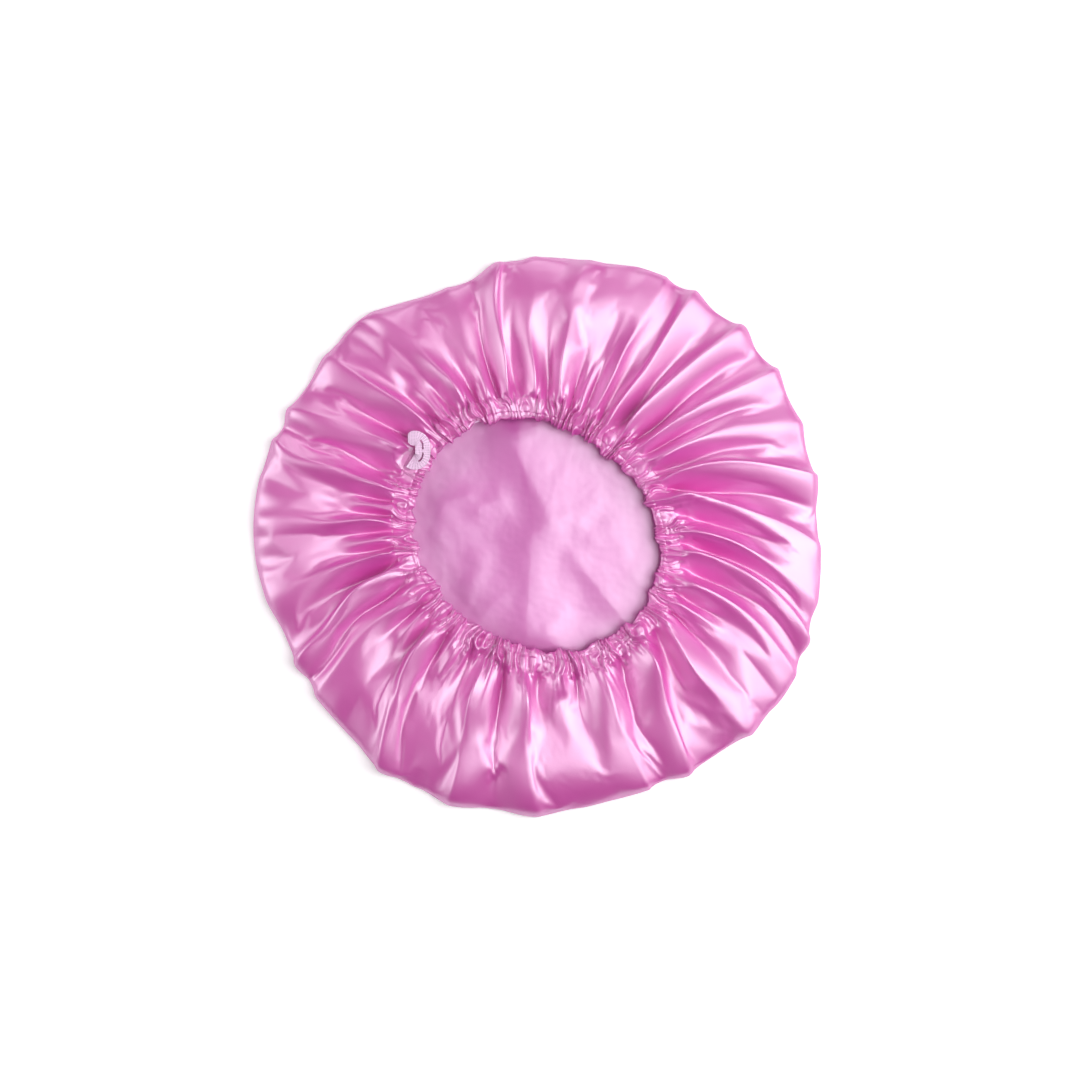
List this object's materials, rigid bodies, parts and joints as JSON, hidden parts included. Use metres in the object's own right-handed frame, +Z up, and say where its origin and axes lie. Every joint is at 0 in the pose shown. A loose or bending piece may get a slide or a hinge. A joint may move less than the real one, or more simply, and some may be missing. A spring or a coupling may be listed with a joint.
{
  "type": "hair bonnet",
  "caption": "Round gathered satin hair bonnet with a lining, an elastic in a ruched casing and a buttonhole elastic adjuster.",
  "frame": {"origin": "centre of the crown where it rests on the table", "axes": "+Z up out of the head opening, +X to the right and +Y away as the bonnet lies in the picture"},
  "size_m": [0.3631, 0.3595, 0.0253],
  "materials": {
    "satin": "glossy polyester satin",
    "lining_satin": "smooth satin lining",
    "elastic_knit": "matt woven elastic",
    "sewing_thread": "polyester sewing thread",
    "button_resin": "glossy moulded resin"
  },
  "bodies": {
    "cap": {"outer_shell": "satin", "lining": "lining_satin", "elastic_casing": "satin", "elastic_band": "elastic_knit", "casing_seam_thread": "sewing_thread", "edge_seam_thread": "sewing_thread", "slit_binding": "sewing_thread", "band_end_tack": "sewing_thread", "adjuster_stem": "elastic_knit", "button_thread": "sewing_thread"},
    "pull_loop": {"adjuster_loop": "elastic_knit"},
    "button": {"adjuster_button": "button_resin"}
  },
  "joints": [
    {"name": "loop_pull", "type": "slide", "parent": "cap", "child": "pull_loop", "axis": [0, 0, 1], "range_m": [0, 0.025], "stiffness_N_per_m": 20, "deforming": ["adjuster_stem"]},
    {"name": "button_tilt", "type": "hinge", "parent": "cap", "child": "button", "pos_m": [-0.0716, 0.0541, 0.02], "axis": [0, 1, 0], "range_deg": [-8, 8], "stiffness_Nm_per_rad": 0.0005}
  ]
}
